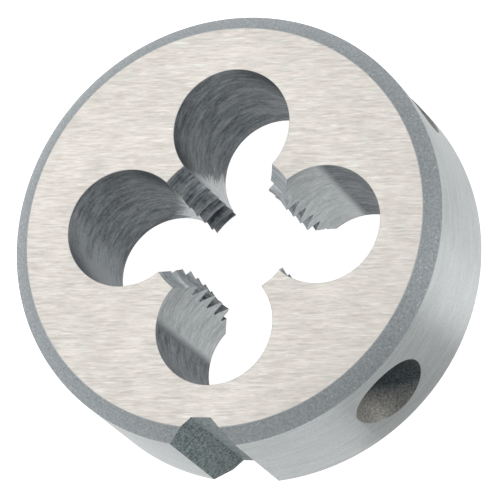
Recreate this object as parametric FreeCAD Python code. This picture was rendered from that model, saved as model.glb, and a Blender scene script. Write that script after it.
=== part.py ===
import FreeCAD, Part
import math
import os
from FreeCAD import Vector

# Round threading die of one hardened steel piece, for cutting an M8 x 1.25 outside thread.
# Millimetres. +Z runs along the thread axis from the back face to the front face.
# The origin is on the axis, in the plane of the back face that the die rests on.

# Body
body_diameter = 25.0
body_thickness = 9.0
rim_chamfer_radial = 0.9
rim_chamfer_axial = 0.75

# Cutting thread
thread_diameter = 8.0
thread_pitch = 1.25
thread_flank_angle = 60.0
thread_start_angle = 119.0
thread_hand_is_left = False

# Lead cone at each end of the thread, where the rod goes in and comes out
lead_mouth_diameter = 8.8
lead_length = 2.4

# Clearance holes that cut the thread into lands and let the chips out
clearance_hole_count = 4
clearance_hole_diameter = 6.8
clearance_circle_diameter = 11.5
first_clearance_hole_angle = 0.0

# Notch across the rim for the die holder's driving screw
notch_angle = -91.5
notch_opening_angle = 90.0
notch_floor_radius = 11.0
notch_floor_width = 1.15

# Cone-shaped dimples in the rim for the die holder's clamping screws, mirrored across X and Y
dimple_angle = 43.0
dimple_height = 4.8
dimple_mouth_diameter = 5.0
dimple_cone_angle = 90.0

# Reach of a cutting tool past the surface that it breaks through
tool_overrun = 1.0

body_radius = body_diameter / 2
thread_radius = thread_diameter / 2
lead_mouth_radius = lead_mouth_diameter / 2
clearance_hole_radius = clearance_hole_diameter / 2
clearance_circle_radius = clearance_circle_diameter / 2

# ISO metric thread form, a V cut flat at the bottom of the groove and at the tip of the tooth.
# The teeth are as long as the groove in the rod is deep, 17/24 of the V, which leaves a sixth of the pitch flat.
root_flat = thread_pitch / 8
crest_flat = thread_pitch / 6
flank_tangent = math.tan(math.radians(thread_flank_angle / 2))
thread_depth = (thread_pitch - root_flat - crest_flat) / 2 / flank_tangent
bore_radius = thread_radius - thread_depth

# The groove's profile starts a little inside the bore, and its helix runs one turn past each face
groove_inner_radius = bore_radius - thread_depth / 4
groove_height = body_thickness + 2 * thread_pitch


def point_at(radius, degrees, height):
    turn = math.radians(degrees)
    return Vector(radius * math.cos(turn), radius * math.sin(turn), height)


def closed_outline(corners):
    return Part.makePolygon(corners + corners[:1])


def revolved(outline):
    """Solid of revolution about Z from (radius, height) corners."""
    wire = closed_outline([Vector(radius, 0, height) for radius, height in outline])
    return Part.Face(wire).revolve(Vector(0, 0, 0), Vector(0, 0, 1), 360)


def turned_blank():
    """Disc with a chamfer round each face."""
    face_radius = body_radius - rim_chamfer_radial
    return revolved([
        (0, 0),
        (face_radius, 0),
        (body_radius, rim_chamfer_axial),
        (body_radius, body_thickness - rim_chamfer_axial),
        (face_radius, body_thickness),
        (0, body_thickness),
    ])


def bore_and_leads():
    """Plain bore at the thread's crests, with a lead cone widening to each face."""
    lead_slope = (lead_mouth_radius - bore_radius) / lead_length
    tool_radius = lead_mouth_radius + lead_slope * tool_overrun
    return revolved([
        (0, -tool_overrun),
        (tool_radius, -tool_overrun),
        (bore_radius, lead_length),
        (bore_radius, body_thickness - lead_length),
        (tool_radius, body_thickness + tool_overrun),
        (0, body_thickness + tool_overrun),
    ])


def thread_groove():
    """Helical V groove between the teeth, swept past both faces."""
    half_width = root_flat / 2 + (thread_radius - groove_inner_radius) * flank_tangent
    profile = closed_outline([
        Vector(groove_inner_radius, 0, -half_width),
        Vector(thread_radius, 0, -root_flat / 2),
        Vector(thread_radius, 0, root_flat / 2),
        Vector(groove_inner_radius, 0, half_width),
    ])
    helix = Part.makeLongHelix(thread_pitch, groove_height, thread_radius, 0, thread_hand_is_left)
    groove = Part.Wire(helix.Edges).makePipeShell([profile], True, True)
    groove.translate(Vector(0, 0, -thread_pitch))
    groove.rotate(Vector(0, 0, 0), Vector(0, 0, 1), thread_start_angle)
    return groove


def clearance_holes():
    """Through holes that open into the bore, evenly spaced on their circle."""
    step = 360 / clearance_hole_count
    holes = []
    for index in range(clearance_hole_count):
        foot = point_at(clearance_circle_radius, first_clearance_hole_angle + index * step, -tool_overrun)
        holes.append(Part.makeCylinder(clearance_hole_radius, body_thickness + 2 * tool_overrun, foot))
    return holes


def driving_notch():
    """Flat-bottomed V groove through the whole thickness of the rim."""
    wall_slope = math.tan(math.radians(notch_opening_angle / 2))
    outer_radius = body_radius + tool_overrun
    floor_half_width = notch_floor_width / 2
    outer_half_width = floor_half_width + (outer_radius - notch_floor_radius) * wall_slope
    outline = closed_outline([
        Vector(notch_floor_radius, -floor_half_width, 0),
        Vector(outer_radius, -outer_half_width, 0),
        Vector(outer_radius, outer_half_width, 0),
        Vector(notch_floor_radius, floor_half_width, 0),
    ])
    notch = Part.Face(outline).extrude(Vector(0, 0, body_thickness + 2 * tool_overrun))
    notch.translate(Vector(0, 0, -tool_overrun))
    notch.rotate(Vector(0, 0, 0), Vector(0, 0, 1), notch_angle)
    return notch


def rim_dimples():
    """Conical seats pointing at the axis, one in each quarter of the rim."""
    wall_slope = math.tan(math.radians(dimple_cone_angle / 2))
    depth = dimple_mouth_diameter / 2 / wall_slope
    tool_radius = (depth + tool_overrun) * wall_slope
    dimples = []
    for angle in (dimple_angle, 180 - dimple_angle, 180 + dimple_angle, -dimple_angle):
        outward = point_at(1, angle, 0)
        tip = outward * (body_radius - depth) + Vector(0, 0, dimple_height)
        dimples.append(Part.makeCone(0, tool_radius, depth + tool_overrun, tip, outward))
    return dimples


def threading_die():
    die = turned_blank()
    die = die.cut(bore_and_leads())
    die = die.cut(thread_groove())
    for hole in clearance_holes():
        die = die.cut(hole)
    die = die.cut(driving_notch())
    for dimple in rim_dimples():
        die = die.cut(dimple)
    return die


def main():
    os.makedirs("parts", exist_ok=True)
    die = threading_die()
    print("valid", die.isValid(), "solids", len(die.Solids), "volume", round(die.Volume, 2))
    die.exportStep("parts/threading_die.step")


main()
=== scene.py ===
import math

import bmesh
import bpy
from mathutils import Matrix, Vector


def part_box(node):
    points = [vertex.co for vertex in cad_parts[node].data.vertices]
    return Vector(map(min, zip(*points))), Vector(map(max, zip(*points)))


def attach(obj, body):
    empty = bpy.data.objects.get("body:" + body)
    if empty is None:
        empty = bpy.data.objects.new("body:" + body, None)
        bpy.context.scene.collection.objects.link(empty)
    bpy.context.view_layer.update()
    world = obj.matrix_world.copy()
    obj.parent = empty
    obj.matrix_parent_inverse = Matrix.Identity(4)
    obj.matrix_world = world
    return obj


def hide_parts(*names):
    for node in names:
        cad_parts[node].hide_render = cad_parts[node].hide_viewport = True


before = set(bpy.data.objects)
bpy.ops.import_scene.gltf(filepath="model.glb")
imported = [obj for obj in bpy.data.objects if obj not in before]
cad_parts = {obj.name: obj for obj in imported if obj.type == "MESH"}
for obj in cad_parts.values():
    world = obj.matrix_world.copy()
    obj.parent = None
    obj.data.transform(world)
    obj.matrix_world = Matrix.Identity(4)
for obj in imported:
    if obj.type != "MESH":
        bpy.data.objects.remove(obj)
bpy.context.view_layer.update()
print("frame loaded")

mm = 0.001
lowCorner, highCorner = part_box("threading_die")

# Threading die, sizes in millimetres and angles in degrees
die = {
    "radius": (highCorner.x - lowCorner.x) / 2 / mm,
    "thickness": (highCorner.z - lowCorner.z) / mm,
    "chamferRadial": 0.9,
    "chamferAxial": 0.75,
    "cornerRound": 0.025,
    "cornerSegments": 3,
    "mouthBreak": 0.035,
    "mouthSegments": 2,
    "blankInnerRadius": 2.0,
    "blankSteps": 288,
    "boreRadius": 3.2332,
    "leadMouthRadius": 4.4,
    "leadLength": 2.4,
    "boreSteps": 240,
    "threadRadius": 4.0,
    "threadPitch": 1.25,
    "flankAngle": 30.0,
    "grooveFloor": 0.15625,
    "threadStart": 119.0,
    "stepsPerTurn": 120,
    "holeCount": 4,
    "holeRadius": 3.4,
    "holeCircleRadius": 5.75,
    "holeBreak": 0.02,
    "holeSteps": 160,
    "notchAngle": -91.5,
    "notchFloorRadius": 11.0,
    "notchFloorWidth": 1.15,
    "dimpleAngles": (43.0, 137.0, 223.0, -43.0),
    "dimpleHeight": 4.8,
    "dimpleRadius": 2.5,
    "dimpleSteps": 128,
    "sharpAngle": 22.0,
}

# How the cutters are made and used, in millimetres
cutting = {
    "overrun": 1.0,  # reach past a surface
    "grooveInset": 0.2,  # how far inside the tooth tips the groove starts
    "extraTurns": 1,  # turns of the groove past each face
    "seamMerge": 1e-5,  # how near two points merge on a seam
    "cutMerge": 0.0005,  # and after all the cuts
    "flatTilt": 0.001,  # how far a face may tilt and still count as flat or upright
    "coneTilt": 0.01,  # and as a chamfer or the wall of a hole
}

# Order of the material slots on the die
finishes = ["brushedFace", "blastedChamfer", "groundRim", "boredWall", "toothSteel",
            "notchSteel", "notchFloor", "dimpleSteel", "edgeBreak"]
slotOf = {name: index for index, name in enumerate(finishes)}


def finishObject(name, bm):
    mesh = bpy.data.meshes.new(name)
    bm.to_mesh(mesh)
    bm.free()
    made = bpy.data.objects.new(name, mesh)
    bpy.context.scene.collection.objects.link(made)
    for finish in finishes:
        mesh.materials.append(bpy.data.materials[finish])
    return made


def setFinish(faces, finish):
    for face in faces:
        face.material_index = slotOf[finish]


def latheSolid(outline, steps, roundedCorners=()):
    # spins a closed outline of (radius, height) corners round Z
    bm = bmesh.new()
    corners = [bm.verts.new((radius, 0, height)) for radius, height in outline]
    bm.faces.new(corners)
    if roundedCorners:
        rounded = [corners[index] for index in roundedCorners]
        bmesh.ops.bevel(bm, geom=rounded, offset=die["cornerRound"], offset_type="OFFSET", affect="VERTICES",
                        segments=die["cornerSegments"], profile=0.5, material=-1)
    bmesh.ops.delete(bm, geom=bm.faces[:], context="FACES_ONLY")
    onAxis = [edge for edge in bm.edges if all(vert.co.x < cutting["seamMerge"] for vert in edge.verts)]
    bmesh.ops.delete(bm, geom=onAxis, context="EDGES")
    bmesh.ops.spin(bm, geom=bm.verts[:] + bm.edges[:], cent=(0, 0, 0), axis=(0, 0, 1),
                   angle=math.tau, steps=steps, use_merge=True)
    bmesh.ops.remove_doubles(bm, verts=bm.verts[:], dist=cutting["seamMerge"])
    bmesh.ops.recalc_face_normals(bm, faces=bm.faces[:])
    return bm


def turnedBlank():
    # disc with a chamfer round each face and a hole that the bore takes away
    faceRadius = die["radius"] - die["chamferRadial"]
    top = die["thickness"]
    bm = latheSolid([
        (die["blankInnerRadius"], 0),
        (faceRadius, 0),
        (die["radius"], die["chamferAxial"]),
        (die["radius"], top - die["chamferAxial"]),
        (faceRadius, top),
        (die["blankInnerRadius"], top),
    ], die["blankSteps"], roundedCorners=(1, 2, 3, 4))
    chamferTilt = die["chamferRadial"] / math.hypot(die["chamferRadial"], die["chamferAxial"])
    for face in bm.faces:
        tilt = abs(face.normal.z)
        if tilt > 1 - cutting["flatTilt"]:
            finish = "brushedFace"
        elif tilt < cutting["flatTilt"]:
            finish = "groundRim"
        elif abs(tilt - chamferTilt) < cutting["coneTilt"]:
            finish = "blastedChamfer"
        else:
            finish = "edgeBreak"
        setFinish([face], finish)
    return finishObject("threadingDie", bm)


def coreCutter():
    # bore at the tooth tips with a lead cone to each face
    slope = (die["leadMouthRadius"] - die["boreRadius"]) / die["leadLength"]
    reach = cutting["overrun"]
    toolRadius = die["leadMouthRadius"] + slope * reach
    top = die["thickness"]
    bm = latheSolid([
        (0, -reach),
        (toolRadius, -reach),
        (die["boreRadius"], die["leadLength"]),
        (die["boreRadius"], top - die["leadLength"]),
        (toolRadius, top + reach),
        (0, top + reach),
    ], die["boreSteps"])
    setFinish(bm.faces, "toothSteel")
    return finishObject("coreCutter", bm)


def threadCutter():
    # the groove's section, swept up along its helix from below the back face
    pitch = die["threadPitch"]
    innerRadius = die["boreRadius"] - cutting["grooveInset"]
    slope = math.tan(math.radians(die["flankAngle"]))
    floorHalf = die["grooveFloor"] / 2
    innerHalf = floorHalf + (die["threadRadius"] - innerRadius) * slope
    start = -pitch * cutting["extraTurns"]
    turns = die["thickness"] / pitch + 2 * cutting["extraTurns"]
    bm = bmesh.new()
    section = bm.faces.new([bm.verts.new(corner) for corner in (
        (innerRadius, 0, start - innerHalf),
        (die["threadRadius"], 0, start - floorHalf),
        (die["threadRadius"], 0, start + floorHalf),
        (innerRadius, 0, start + innerHalf),
    )])
    bmesh.ops.rotate(bm, verts=bm.verts[:], cent=(0, 0, 0),
                     matrix=Matrix.Rotation(math.radians(die["threadStart"]), 3, "Z"))
    steps = round(turns * die["stepsPerTurn"])
    bmesh.ops.spin(bm, geom=bm.verts[:] + bm.edges[:] + [section], cent=(0, 0, 0), axis=(0, 0, 1),
                   angle=math.tau * steps / die["stepsPerTurn"], steps=steps,
                   dvec=(0, 0, pitch / die["stepsPerTurn"]))
    bmesh.ops.recalc_face_normals(bm, faces=bm.faces[:])
    setFinish(bm.faces, "toothSteel")
    return finishObject("threadCutter", bm)


def holeCutters():
    # clearance holes with a 45 degree break at both mouths, whose cone goes on past the face
    radius = die["holeRadius"]
    width = die["holeBreak"]
    toolRadius = radius + 3 * width
    top = die["thickness"]
    reach = cutting["overrun"]
    outline = [
        (0, -reach),
        (toolRadius, -reach),
        (toolRadius, -2 * width),
        (radius, width),
        (radius, top - width),
        (toolRadius, top + 2 * width),
        (toolRadius, top + reach),
        (0, top + reach),
    ]
    for index in range(die["holeCount"]):
        bm = latheSolid(outline, die["holeSteps"])
        for face in bm.faces:
            isWall = abs(face.normal.z) < cutting["coneTilt"]
            setFinish([face], "boredWall" if isWall else "edgeBreak")
        turn = Matrix.Rotation(math.tau * index / die["holeCount"], 4, "Z")
        bm.transform(turn @ Matrix.Translation((die["holeCircleRadius"], 0, 0)))
        yield finishObject("holeCutter", bm)


def notchCutter():
    # 90 degree notch, so its walls widen by as much as they rise
    floorRadius = die["notchFloorRadius"]
    reach = cutting["overrun"]
    outerRadius = die["radius"] + reach
    floorHalf = die["notchFloorWidth"] / 2
    outerHalf = floorHalf + outerRadius - floorRadius
    bm = bmesh.new()
    outline = bm.faces.new([bm.verts.new(corner) for corner in (
        (floorRadius, -floorHalf, -reach),
        (outerRadius, -outerHalf, -reach),
        (outerRadius, outerHalf, -reach),
        (floorRadius, floorHalf, -reach),
    )])
    raised = bmesh.ops.extrude_face_region(bm, geom=[outline])
    lifted = [item for item in raised["geom"] if isinstance(item, bmesh.types.BMVert)]
    bmesh.ops.translate(bm, verts=lifted, vec=(0, 0, die["thickness"] + 2 * reach))
    bmesh.ops.recalc_face_normals(bm, faces=bm.faces[:])
    setFinish(bm.faces, "notchSteel")
    innermost = min(bm.faces, key=lambda face: face.calc_center_median().x)
    setFinish([innermost], "notchFloor")
    bm.transform(Matrix.Rotation(math.radians(die["notchAngle"]), 4, "Z"))
    return finishObject("notchCutter", bm)


def dimpleCutters():
    # 90 degree cones, as deep as their mouth's radius
    depth = die["dimpleRadius"]
    reach = depth + cutting["overrun"]
    for angle in die["dimpleAngles"]:
        bm = latheSolid([(0, 0), (reach, reach), (0, reach)], die["dimpleSteps"])
        setFinish(bm.faces, "dimpleSteel")
        turn = Matrix.Rotation(math.radians(angle), 4, "Z")
        place = turn @ Matrix.Translation((die["radius"] - depth, 0, die["dimpleHeight"]))
        bm.transform(place @ Matrix.Rotation(math.pi / 2, 4, "Y"))
        yield finishObject("dimpleCutter", bm)


def cutAway(piece, cutter):
    boolean = piece.modifiers.new(cutter.name, "BOOLEAN")
    boolean.operation = "DIFFERENCE"
    boolean.solver = "EXACT"
    boolean.object = cutter
    bpy.context.view_layer.objects.active = piece
    bpy.ops.object.modifier_apply(modifier=boolean.name)
    bpy.data.objects.remove(cutter)


def breakMouths(piece):
    # takes the sharp edge off the mouths of the notch and the dimples
    cutSlots = {slotOf["notchSteel"], slotOf["notchFloor"], slotOf["dimpleSteel"]}
    bm = bmesh.new()
    bm.from_mesh(piece.data)
    mouths = []
    for edge in bm.edges:
        cutSides = sum(1 for face in edge.link_faces if face.material_index in cutSlots)
        if cutSides == 1:
            mouths.append(edge)
    broken = bmesh.ops.bevel(bm, geom=mouths, offset=die["mouthBreak"], offset_type="OFFSET", affect="EDGES",
                             segments=die["mouthSegments"], profile=0.5, material=-1, clamp_overlap=True)
    setFinish(broken["faces"], "edgeBreak")
    bm.to_mesh(piece.data)
    bm.free()


def threadingDie():
    piece = turnedBlank()
    for cutter in [notchCutter(), *dimpleCutters()]:
        cutAway(piece, cutter)
    breakMouths(piece)
    for cutter in [*holeCutters(), coreCutter(), threadCutter()]:
        cutAway(piece, cutter)
    bm = bmesh.new()
    bm.from_mesh(piece.data)
    bmesh.ops.remove_doubles(bm, verts=bm.verts[:], dist=cutting["cutMerge"])
    bmesh.ops.scale(bm, vec=(mm, mm, mm), verts=bm.verts[:])
    openEdges = sum(1 for edge in bm.edges if not edge.is_manifold)
    volume = round(bm.calc_volume() / mm ** 3, 1)
    print("die faces", len(bm.faces), "open edges", openEdges, "volume mm3", volume)
    for face in bm.faces:
        face.smooth = True
    bm.to_mesh(piece.data)
    bm.free()
    piece.data.set_sharp_from_angle(angle=math.radians(die["sharpAngle"]))
    return piece


# Shader helpers
def setSockets(tree, made, sockets):
    # links what comes from another node, and writes a plain value
    for name, value in sockets.items():
        if isinstance(value, bpy.types.NodeSocket):
            tree.links.new(value, made.inputs[name])
        else:
            made.inputs[name].default_value = value


def node(tree, kind, sockets=None, **settings):
    made = tree.nodes.new("ShaderNode" + kind)
    for name, value in settings.items():
        setattr(made, name, value)
    setSockets(tree, made, sockets or {})
    return made


def sums(tree, operation, first, second=0.0):
    return node(tree, "Math", {0: first, 1: second}, operation=operation).outputs[0]


def plus(tree, first, second):
    return sums(tree, "ADD", first, second)


def minus(tree, first, second):
    return sums(tree, "SUBTRACT", first, second)


def times(tree, first, second):
    return sums(tree, "MULTIPLY", first, second)


def shared(tree, first, firstShare, second):
    # the first value by its share and the second by what is left
    return plus(tree, times(tree, first, firstShare), times(tree, second, 1 - firstShare))


def noise(tree, place, scale, detail=2.0, roughness=0.5):
    return node(tree, "TexNoise", {"Vector": place, "Scale": scale, "Detail": detail,
                                   "Roughness": roughness}).outputs[0]


# Where a noise's values mostly lie, and their middle
noiseRange = (0.3, 0.7)
noiseMiddle = 0.5


def between(tree, value, low, high, toLow=0.0, toHigh=1.0, smooth=False):
    kind = "SMOOTHSTEP" if smooth else "LINEAR"
    return node(tree, "MapRange", {"Value": value, "From Min": low, "From Max": high, "To Min": toLow,
                                   "To Max": toHigh}, interpolation_type=kind).outputs[0]


def betweenSizes(tree, value, sizes):
    # the same from one size in millimetres to another
    return between(tree, value, *[size * mm for size in sizes])


def mixed(tree, amount, first, second, blending="MIX"):
    # sockets 6 and 7 of the Mix node are its two colours
    made = node(tree, "Mix", {"Factor": amount}, data_type="RGBA", blend_type=blending)
    for index, colour in ((6, first), (7, second)):
        isLinked = isinstance(colour, bpy.types.NodeSocket)
        setSockets(tree, made, {index: colour if isLinked else (*colour, 1)})
    return made.outputs[2]


def newGroup(name, inputs, outputs):
    tree = bpy.data.node_groups.new(name, "ShaderNodeTree")
    for title, kind in inputs.items():
        tree.interface.new_socket(title, in_out="INPUT", socket_type="NodeSocket" + kind)
    for title in outputs:
        tree.interface.new_socket(title, in_out="OUTPUT", socket_type="NodeSocketFloat")
    return tree, tree.nodes.new("NodeGroupInput").outputs, tree.nodes.new("NodeGroupOutput").inputs


def placed(tree, group, sockets):
    made = tree.nodes.new("ShaderNodeGroup")
    made.node_tree = bpy.data.node_groups[group]
    setSockets(tree, made, sockets)
    return made.outputs


# Lines left by grinding, honing or boring, and scratches among them
drawnLines = {
    "fine": {"scale": 1.0, "detail": 3.0, "roughness": 0.65},
    "wide": {"scale": 0.55, "detail": 2.0, "roughness": 0.5},
    "fineShare": 0.6,
    "scratches": {"scale": 0.71, "detail": 1.0, "roughness": 0.4},
    "bright": (0.64, 0.74),  # noise where a bright scratch begins and where it is full
    "dark": (0.35, 0.27),  # the same for a dark one
}


def drawnLinesGroup():
    # Density is lines per metre along each axis
    tree, given, result = newGroup("drawnLines", {"Place": "Vector", "Density": "Vector"},
                                   ["Lines", "Bright Scratches", "Dark Scratches"])
    along = node(tree, "VectorMath", {0: given["Place"], 1: given["Density"]}, operation="MULTIPLY")
    fine = noise(tree, along.outputs[0], **drawnLines["fine"])
    wide = noise(tree, along.outputs[0], **drawnLines["wide"])
    scratches = noise(tree, along.outputs[0], **drawnLines["scratches"])
    tree.links.new(shared(tree, fine, drawnLines["fineShare"], wide), result["Lines"])
    tree.links.new(between(tree, scratches, *drawnLines["bright"]), result["Bright Scratches"])
    tree.links.new(between(tree, scratches, *drawnLines["dark"]), result["Dark Scratches"])


# Fine shot-blasted grain with a few bright specks
blastedGrain = {
    "detail": 2.0,
    "roughness": 0.6,
    "chosen": (0.93, 0.96),  # a cell whose own value is past these holds a speck
    "speck": (0.45, 0.15),  # how far out in its cell a speck ends and where it is full
}


def blastedGrainGroup():
    # Density is grains per metre
    tree, given, result = newGroup("blastedGrain", {"Place": "Vector", "Density": "Float"},
                                   ["Grain", "Specks"])
    grain = noise(tree, given["Place"], given["Density"], blastedGrain["detail"], blastedGrain["roughness"])
    cells = node(tree, "TexVoronoi", {"Vector": given["Place"], "Scale": given["Density"]}, feature="F1")
    ownValue = node(tree, "SeparateColor", {0: cells.outputs["Color"]}).outputs[0]
    chosen = between(tree, ownValue, *blastedGrain["chosen"])
    near = between(tree, cells.outputs["Distance"], *blastedGrain["speck"])
    tree.links.new(grain, result["Grain"])
    tree.links.new(times(tree, chosen, near), result["Specks"])


def axisDistanceGroup():
    # distance from the thread axis
    tree, given, result = newGroup("axisDistance", {"Place": "Vector"}, ["Distance"])
    split = node(tree, "SeparateXYZ", {0: given["Place"]}).outputs
    flat = node(tree, "CombineXYZ", {0: split[0], 1: split[1], 2: 0.0}).outputs[0]
    length = node(tree, "VectorMath", {0: flat}, operation="LENGTH").outputs[1]
    tree.links.new(length, result["Distance"])


def paintedReflectionZoneGroup():
    # 1 near the thread axis, where the walls of the holes get a bright painted reflection of the bore's open
    # mouth, and 0 further out. Where X is greater than Y the zone starts wider and narrows with depth. On the
    # other side it widens and its end is softer
    numbers = ("Reach", "Lean", "Growth", "Fanning", "Softness", "Fraying", "Ragged")
    inputs = {"Place": "Vector", **{title: "Float" for title in numbers}}
    tree, given, result = newGroup("honedZone", inputs, ["Honed"])
    split = node(tree, "SeparateXYZ", {0: given["Place"]}).outputs
    radius = placed(tree, "axisDistance", {"Place": given["Place"]})["Distance"]
    side = minus(tree, split[0], split[1])
    depth = minus(tree, die["thickness"] * mm, split[2])
    reach = plus(tree, given["Reach"], times(tree, given["Lean"], side))
    growth = plus(tree, given["Growth"], times(tree, given["Fanning"], side))
    reach = plus(tree, reach, times(tree, growth, depth))
    softness = plus(tree, given["Softness"], times(tree, given["Fraying"], side))
    share = sums(tree, "DIVIDE", minus(tree, radius, reach), softness)
    share = plus(tree, share, given["Ragged"])
    tree.links.new(between(tree, share, 0.5, -0.5, smooth=True), result["Honed"])


def steelMaterial(name):
    material = bpy.data.materials.new(name)
    material.use_nodes = True
    tree = material.node_tree
    shader = tree.nodes["Principled BSDF"]
    shader.inputs["Metallic"].default_value = 1.0
    return tree, shader, node(tree, "TexCoord").outputs["Object"]


def addRelief(tree, shader, height, depth):
    bump = node(tree, "Bump", {"Strength": 1.0, "Distance": depth * mm, "Height": height})
    tree.links.new(bump.outputs[0], shader.inputs["Normal"])


# In the finishes below, density, mottling, cloud and grain count per metre, relief is in millimetres, and
# a pair of roughness values belongs to the dark and the light end of the tone

# Ground face: short straight marks along X, soft clouds and a faint cool mottling
brushedFace = {
    "dark": (0.60, 0.553, 0.514),
    "light": (0.97, 0.91, 0.858),
    "bright": (1.0, 0.98, 0.95),
    "deep": (0.46, 0.44, 0.43),
    "cool": (0.96, 1.0, 0.985),
    "density": (1500, 12500, 1500),
    "toneRange": (0.22, 0.78),
    "brightShare": 0.5,
    "deepShare": 0.3,
    "cloud": 330,
    "cloudShare": 0.2,
    "mottling": 2600,
    "mottlingRange": (0.35, 0.65),
    "roughness": (0.46, 0.34),
    "relief": 0.0015,
}


def makeBrushedFace():
    tree, shader, place = steelMaterial("brushedFace")
    lines = placed(tree, "drawnLines", {"Place": place, "Density": brushedFace["density"]})
    cloud = minus(tree, noise(tree, place, brushedFace["cloud"]), noiseMiddle)
    tone = plus(tree, lines["Lines"], times(tree, cloud, brushedFace["cloudShare"]))
    amount = between(tree, tone, *brushedFace["toneRange"])
    colour = mixed(tree, amount, brushedFace["dark"], brushedFace["light"])
    bright = times(tree, lines["Bright Scratches"], brushedFace["brightShare"])
    colour = mixed(tree, bright, colour, brushedFace["bright"])
    deep = times(tree, lines["Dark Scratches"], brushedFace["deepShare"])
    colour = mixed(tree, deep, colour, brushedFace["deep"])
    mottling = between(tree, noise(tree, place, brushedFace["mottling"]), *brushedFace["mottlingRange"])
    colour = mixed(tree, mottling, colour, brushedFace["cool"], blending="MULTIPLY")
    roughness = between(tree, tone, *noiseRange, *brushedFace["roughness"])
    setSockets(tree, shader, {"Base Color": colour, "Roughness": roughness})
    addRelief(tree, shader, lines["Lines"], brushedFace["relief"])


# Ground rim: fine marks round the axis, which smear its reflections upwards and downwards
groundRim = {
    "dark": (0.55, 0.58, 0.585),
    "light": (0.80, 0.82, 0.815),
    "density": (700, 700, 4600),
    "lineShare": 0.55,
    "grain": 9000,
    "roughness": 0.52,
    "smear": 1.0,
    "smearTurn": 0.25,
    "relief": 0.0015,
}


def makeGroundRim():
    tree, shader, place = steelMaterial("groundRim")
    lines = placed(tree, "drawnLines", {"Place": place, "Density": groundRim["density"]})
    grain = placed(tree, "blastedGrain", {"Place": place, "Density": groundRim["grain"]})
    tone = shared(tree, lines["Lines"], groundRim["lineShare"], grain["Grain"])
    colour = mixed(tree, between(tree, tone, *noiseRange), groundRim["dark"], groundRim["light"])
    around = node(tree, "Tangent", direction_type="RADIAL", axis="Z").outputs[0]
    setSockets(tree, shader, {
        "Base Color": colour,
        "Roughness": groundRim["roughness"],
        "Anisotropic": groundRim["smear"],
        "Anisotropic Rotation": groundRim["smearTurn"],
        "Tangent": around,
    })
    addRelief(tree, shader, tone, groundRim["relief"])


# Walls of the clearance holes: drilled and dark, partly their own tone and partly painted shade, with a
# bright painted reflection of the bore's open mouth towards the cutting edges
boredWall = {
    "dark": (0.035, 0.045, 0.054),
    "light": (0.29, 0.315, 0.33),
    "paintedReflectionDark": (0.39, 0.42, 0.43),
    "paintedReflectionLight": (0.735, 0.765, 0.77),
    "paintedHighlightDark": (0.52, 0.55, 0.56),
    "paintedHighlightLight": (0.94, 0.96, 0.97),
    "paintedHighlightSides": (-3.5, -5.5),  # X less Y over which the painted reflection turns to the painted highlight's colours
    "density": (1300, 1300, 4000),
    "lineShare": 0.75,
    "mottling": 6000,
    "toneRange": (0.32, 0.68),
    "reach": 5.87,  # radius of the painted reflection's zone at the front face
    "lean": 0.233,  # its change for each millimetre of X less Y
    "growth": 0.046,  # its change for each millimetre of depth
    "fanning": -0.0297,  # change of that growth for each millimetre of X less Y
    "softness": 0.5,  # width of the zone's end
    "fraying": -0.01,  # change of that width for each millimetre of X less Y
    "ragged": 1.5,  # how much the lines break up the zone's end
    "paintedHighlightRagged": 4.0,  # and how much more in the painted highlight
    "lighterSide": (-0.86, -0.51, 0.0),  # towards the outer end of the left hole
    "lighterReach": (6.9, 8.3),  # distances that way over which the drilled wall turns lighter
    "lighterTone": 0.2,
    "roughness": (0.46, 0.32),
    "relief": 0.004,
}


def makeBoredWall():
    tree, shader, place = steelMaterial("boredWall")
    lines = placed(tree, "drawnLines", {"Place": place, "Density": boredWall["density"]})
    mottling = noise(tree, place, boredWall["mottling"])
    tone = shared(tree, lines["Lines"], boredWall["lineShare"], mottling)
    along = node(tree, "VectorMath", {0: place, 1: boredWall["lighterSide"]}, operation="DOT_PRODUCT").outputs[1]
    lighterOut = times(tree, betweenSizes(tree, along, boredWall["lighterReach"]), boredWall["lighterTone"])
    amount = between(tree, plus(tree, tone, lighterOut), *boredWall["toneRange"])
    split = node(tree, "SeparateXYZ", {0: place}).outputs
    # painted highlight on the wall near the top-left land
    paintedHighlight = betweenSizes(tree, minus(tree, split[0], split[1]), boredWall["paintedHighlightSides"])
    paintedReflectionDark = mixed(tree, paintedHighlight, boredWall["paintedReflectionDark"], boredWall["paintedHighlightDark"])
    paintedReflectionLight = mixed(tree, paintedHighlight, boredWall["paintedReflectionLight"], boredWall["paintedHighlightLight"])
    # painted reflection: the bright wall colours near the bore
    paintedReflection = mixed(tree, amount, paintedReflectionDark, paintedReflectionLight)
    # the wall's own dark drilled tone, deepened with painted shade
    drilledAndShaded = mixed(tree, amount, boredWall["dark"], boredWall["light"])
    ragged = plus(tree, times(tree, paintedHighlight, boredWall["paintedHighlightRagged"]), boredWall["ragged"])
    zone = placed(tree, "honedZone", {
        "Place": place,
        "Reach": boredWall["reach"] * mm,
        "Lean": boredWall["lean"],
        "Growth": boredWall["growth"],
        "Fanning": boredWall["fanning"] / mm,
        "Softness": boredWall["softness"] * mm,
        "Fraying": boredWall["fraying"],
        "Ragged": times(tree, minus(tree, lines["Lines"], noiseMiddle), ragged),
    })
    colour = mixed(tree, zone["Honed"], drilledAndShaded, paintedReflection)
    roughness = between(tree, tone, *noiseRange, *boredWall["roughness"])
    setSockets(tree, shader, {"Base Color": colour, "Roughness": roughness})
    addRelief(tree, shader, tone, boredWall["relief"])


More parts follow.
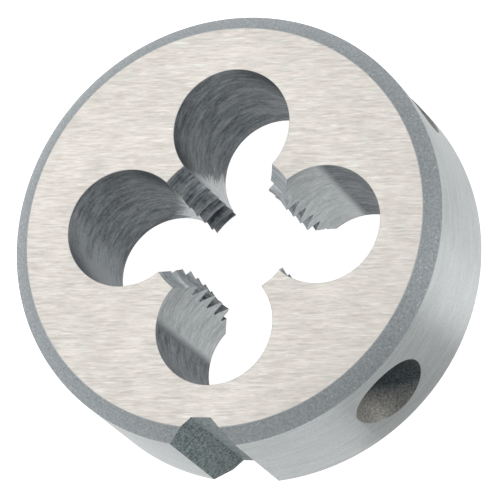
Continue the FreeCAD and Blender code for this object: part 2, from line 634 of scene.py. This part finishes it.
# Teeth and lead cones: strong dark and light marks that run round the thread, with painted light that makes
# some lands lighter and painted shade in the grooves past the lead cone
toothSteel = {
    "dark": (0.035, 0.05, 0.066),
    "light": (0.80, 0.85, 0.88),
    "density": (300, 300, 5200),
    "lineShare": 0.8,
    "mottling": {"scale": 3600, "detail": 3.0, "roughness": 0.6},
    "toneRange": (0.4, 0.7),
    "awayLight": 0.025,  # painted light: change for each millimetre that X plus Y is away from 0
    "rightLight": 0.009,  # painted light: change for each millimetre of X plus Y
    "grooveShade": -0.07,  # painted shade: change in the grooves past the lead cone
    "grooveRadii": (3.3, 3.6),
    "grooveDepths": (1.9, 2.5),
    "metal": 0.2,
    "roughness": 0.45,
    "relief": 0.004,
}


def makeToothSteel():
    tree, shader, place = steelMaterial("toothSteel")
    lines = placed(tree, "drawnLines", {"Place": place, "Density": toothSteel["density"]})
    mottling = noise(tree, place, **toothSteel["mottling"])
    tone = shared(tree, lines["Lines"], toothSteel["lineShare"], mottling)
    split = node(tree, "SeparateXYZ", {0: place}).outputs
    # painted light and shade on the lands, by how the light falls on each: the top-right land lightest, then
    # the bottom-left one
    across = plus(tree, split[0], split[1])
    away = times(tree, sums(tree, "ABSOLUTE", across), toothSteel["awayLight"] / mm)
    paintedLandLight = plus(tree, away, times(tree, across, toothSteel["rightLight"] / mm))
    radius = placed(tree, "axisDistance", {"Place": place})["Distance"]
    # painted shade in the grooves past the lead cone
    inGroove = betweenSizes(tree, radius, toothSteel["grooveRadii"])
    depth = minus(tree, die["thickness"] * mm, split[2])
    pastLead = betweenSizes(tree, depth, toothSteel["grooveDepths"])
    paintedGrooveShade = times(tree, times(tree, inGroove, pastLead), toothSteel["grooveShade"])
    shade = plus(tree, plus(tree, tone, paintedLandLight), paintedGrooveShade)
    amount = between(tree, shade, *toothSteel["toneRange"])
    colour = mixed(tree, amount, toothSteel["dark"], toothSteel["light"])
    setSockets(tree, shader, {
        "Base Color": colour,
        "Metallic": toothSteel["metal"],
        "Roughness": toothSteel["roughness"],
    })
    addRelief(tree, shader, tone, toothSteel["relief"])


# Surfaces that show a grain and no lines: colours of its pits and its tops, and how much the specks show
grainy = {
    "blastedChamfer": {
        "dark": (0.305, 0.335, 0.35),
        "light": (0.47, 0.50, 0.52),
        "speck": 0.5,
        "density": 7500,
        "roughness": 0.5,
        "relief": 0.008,
    },
    "notchSteel": {
        "dark": (0.03, 0.052, 0.054),
        "light": (0.245, 0.295, 0.295),
        "speck": 0.25,
        "density": 6500,
        "roughness": 0.5,
        "relief": 0.012,
    },
    "notchFloor": {
        "dark": (0.12, 0.15, 0.155),
        "light": (0.31, 0.345, 0.345),
        "speck": 0.1,
        "density": 6500,
        "roughness": 0.45,
        "relief": 0.006,
    },
    "edgeBreak": {
        "dark": (0.45, 0.48, 0.49),
        "light": (0.62, 0.64, 0.65),
        "speck": 0.0,
        "density": 7000,
        "roughness": 0.4,
        "relief": 0.002,
    },
}
speckColour = (0.95, 0.96, 0.97)


def makeGrainy(name, look):
    tree, shader, place = steelMaterial(name)
    grain = placed(tree, "blastedGrain", {"Place": place, "Density": look["density"]})
    colour = mixed(tree, between(tree, grain["Grain"], *noiseRange), look["dark"], look["light"])
    colour = mixed(tree, times(tree, grain["Specks"], look["speck"]), colour, speckColour)
    setSockets(tree, shader, {"Base Color": colour, "Roughness": look["roughness"]})
    addRelief(tree, shader, grain["Grain"], look["relief"])


# Drilled dimples: dark and cool in the cone with painted shade, warmer and lighter at the mouth
dimpleSteel = {
    "paintedShadeDark": (0.02, 0.027, 0.03),
    "paintedShadeLight": (0.09, 0.105, 0.11),
    "mouthDark": (0.20, 0.20, 0.185),
    "mouthLight": (0.47, 0.46, 0.425),
    "mouthRadii": (10.9, 12.5),  # distances from the thread axis over which the mouth's colours come in
    "sideTone": 0.5,  # how far out they move in the front dimple, for each millimetre of X plus Y, which darkens its side of greater X plus Y with painted shade
    "plainTone": 0.75,  # how far out they move in the others
    "density": 8500,
    "roughness": 0.42,
    "relief": 0.005,
}


def makeDimpleSteel():
    tree, shader, place = steelMaterial("dimpleSteel")
    grain = placed(tree, "blastedGrain", {"Place": place, "Density": dimpleSteel["density"]})
    split = node(tree, "SeparateXYZ", {0: place}).outputs
    # painted shade on the front dimple's side of greater X plus Y
    toRight = sums(tree, "GREATER_THAN", split[0], 0.0)
    toFront = sums(tree, "LESS_THAN", split[1], 0.0)
    isFrontOne = times(tree, toRight, toFront)  # the dimple where X is above 0 and Y below it
    aside = times(tree, plus(tree, split[0], split[1]), dimpleSteel["sideTone"])
    plain = dimpleSteel["plainTone"] * mm
    aside = plus(tree, times(tree, minus(tree, aside, plain), isFrontOne), plain)
    radius = placed(tree, "axisDistance", {"Place": place})["Distance"]
    # painted shade deep in the cone, giving way to the mouth's colours
    outward = betweenSizes(tree, minus(tree, radius, aside), dimpleSteel["mouthRadii"])
    amount = between(tree, grain["Grain"], *noiseRange)
    deep = mixed(tree, amount, dimpleSteel["paintedShadeDark"], dimpleSteel["paintedShadeLight"])
    mouth = mixed(tree, amount, dimpleSteel["mouthDark"], dimpleSteel["mouthLight"])
    colour = mixed(tree, outward, deep, mouth)
    setSockets(tree, shader, {"Base Color": colour, "Roughness": dimpleSteel["roughness"]})
    addRelief(tree, shader, grain["Grain"], dimpleSteel["relief"])


drawnLinesGroup()
blastedGrainGroup()
axisDistanceGroup()
paintedReflectionZoneGroup()
makeBrushedFace()
makeGroundRim()
makeBoredWall()
makeToothSteel()
makeDimpleSteel()
for grainyName, grainyLook in grainy.items():
    makeGrainy(grainyName, grainyLook)
print("materials made")

piece = threadingDie()
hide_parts("threading_die")
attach(piece, "root")
print("die made")

# Floor: a pale sheet that keeps the soft shadow and shows white where nothing shades it
floor = {
    "radius": 3000,
    "segments": 64,
    "drop": 0.02,
    "colour": 0.75,
    "whiteShare": 0.9,
    "reflectedShare": 0.6,
    "sidesBegin": (12, 14),  # distances from the thread axis over which the sides below fade in
    "sidesEnd": (36, 26),  # and fade out
}

# Parts of the floor close outside the die where its glow in reflections is painted darker or lighter, a
# painted shadow
# and painted light that its rim reflects: the angle they lie at, how far to each side they are whole and
# where they end, in degrees, and their share of the plain level
floorSides = {
    "cameraShade": {"angle": -38, "whole": 15, "end": 26, "share": 0.1},
    "rightGlow": {"angle": 4, "whole": 8, "end": 16, "share": 1.35},
    "leftGlow": {"angle": 172, "whole": 28, "end": 50, "share": 2.1},
}


def facingAmount(tree, place, side):
    # 1 around the side's angle as seen from the thread axis, and 0 past its end
    split = node(tree, "SeparateXYZ", {0: place}).outputs
    flat = node(tree, "CombineXYZ", {0: split[0], 1: split[1], 2: 0.0}).outputs[0]
    flat = node(tree, "VectorMath", {0: flat}, operation="NORMALIZE").outputs[0]
    turn = math.radians(side["angle"])
    toSide = (math.cos(turn), math.sin(turn), 0.0)
    facing = node(tree, "VectorMath", {0: flat, 1: toSide}, operation="DOT_PRODUCT").outputs[1]
    end, whole = [math.cos(math.radians(side[key])) for key in ("end", "whole")]
    return between(tree, facing, end, whole, smooth=True)


def changedLevel(tree, level, amount, share):
    # the level itself where the amount is 0, and the share of it where the amount is 1
    return times(tree, level, plus(tree, times(tree, amount, share - 1), 1.0))


def makeFloor():
    bm = bmesh.new()
    bmesh.ops.create_circle(bm, cap_ends=True, segments=floor["segments"], radius=floor["radius"] * mm)
    bmesh.ops.translate(bm, verts=bm.verts[:], vec=(0, 0, -floor["drop"] * mm))
    mesh = bpy.data.meshes.new("floor")
    bm.to_mesh(mesh)
    bm.free()
    made = bpy.data.objects.new("floor", mesh)
    bpy.context.scene.collection.objects.link(made)
    material = bpy.data.materials.new("paleFloor")
    material.use_nodes = True
    tree = material.node_tree
    tree.nodes.clear()
    place = node(tree, "TexCoord").outputs["Object"]
    radius = node(tree, "VectorMath", {0: place}, operation="LENGTH").outputs[1]
    outside = times(tree, betweenSizes(tree, radius, floor["sidesBegin"]),
                    betweenSizes(tree, radius, floor["sidesEnd"]))
    level = floor["reflectedShare"]
    # painted shadow and painted light in the floor's glow, seen only in reflections
    for side in floorSides.values():
        amount = times(tree, facingAmount(tree, place, side), outside)
        level = changedLevel(tree, level, amount, side["share"])
    light = node(tree, "LightPath").outputs
    reflected = times(tree, light["Is Glossy Ray"], level)
    seen = sums(tree, "MAXIMUM", light["Is Camera Ray"], reflected)
    seen = sums(tree, "MAXIMUM", seen, light["Is Transmission Ray"])
    strength = times(tree, seen, floor["whiteShare"])
    glow = node(tree, "Emission", {"Color": (1, 1, 1, 1), "Strength": strength})
    paper = node(tree, "BsdfDiffuse", {"Color": (floor["colour"],) * 3 + (1,)})
    both = node(tree, "AddShader", {0: paper.outputs[0], 1: glow.outputs[0]})
    node(tree, "OutputMaterial", {"Surface": both.outputs[0]})
    mesh.materials.append(material)


makeFloor()

# Light: one large soft box behind on the left, inside a pale tent
lights = {
    "keyDirection": (-0.39, 0.35, 0.85),
    "keyDistance": 400,
    "keySize": 260,
    "keyRadiance": 0.57,
    "tentLevel": 0.64,
    "tentFade": 12,  # degrees above and below their height over which the tent's sides fade out
}

# Sides of the tent that differ from its plain level: the angle they stand at, how far to each side they
# are whole, where they end and how high they reach, in degrees, and their share of the plain level
tentSides = {
    "cameraOpening": {"angle": -36, "whole": 18, "end": 26, "height": 24, "share": 0.0},
    "rightGlow": {"angle": 0, "whole": 7, "end": 17, "height": 50, "share": 1.9},
    "leftWindow": {"angle": -162, "whole": 15, "end": 40, "height": 55, "share": 1.3},
    "backSheet": {"angle": 97, "whole": 14, "end": 34, "height": 25, "share": 1.25},
}


def makeKeyLight():
    lamp = bpy.data.lights.new("softBox", "AREA")
    lamp.shape = "SQUARE"
    lamp.size = lights["keySize"] * mm
    lamp.energy = lights["keyRadiance"] * math.pi * lamp.size ** 2
    made = bpy.data.objects.new("softBox", lamp)
    toLamp = Vector(lights["keyDirection"]).normalized()
    made.location = toLamp * lights["keyDistance"] * mm
    made.rotation_euler = toLamp.to_track_quat("Z", "Y").to_euler()
    bpy.context.scene.collection.objects.link(made)


def makeTent():
    world = bpy.data.worlds.new("studio")
    bpy.context.scene.world = world
    world.use_nodes = True
    tree = world.node_tree
    direction = node(tree, "TexCoord").outputs["Generated"]
    rise = node(tree, "SeparateXYZ", {0: direction}).outputs[2]
    fade = lights["tentFade"]
    level = lights["tentLevel"]
    for side in tentSides.values():
        low, high = [math.sin(math.radians(side["height"] + change)) for change in (-fade, fade)]
        below = between(tree, rise, low, high, 1.0, 0.0, smooth=True)
        amount = times(tree, facingAmount(tree, direction, side), below)
        level = changedLevel(tree, level, amount, side["share"])
    setSockets(tree, tree.nodes["Background"], {"Color": (1, 1, 1, 1), "Strength": level})


makeKeyLight()
makeTent()
print("floor and lights made")

# Camera at the photograph's place, in millimetres and degrees
view = {
    "location": (102.769, -88.586, 283.525),
    "turned": (18.2603, 18.7225, 5.0066),
    "lens": 398.38,
    "sensorWidth": 36,
    "nearest": 10,
    "farthest": 20000,
}


def makeCamera():
    data = bpy.data.cameras.new("photoCamera")
    data.sensor_width = view["sensorWidth"]
    data.lens = view["lens"]
    data.clip_start = view["nearest"] * mm
    data.clip_end = view["farthest"] * mm
    made = bpy.data.objects.new("photoCamera", data)
    made.location = Vector(view["location"]) * mm
    made.rotation_euler = [math.radians(angle) for angle in view["turned"]]
    bpy.context.scene.collection.objects.link(made)
    bpy.context.scene.camera = made


makeCamera()
bpy.context.scene.view_settings.view_transform = "Standard"
print("camera made")
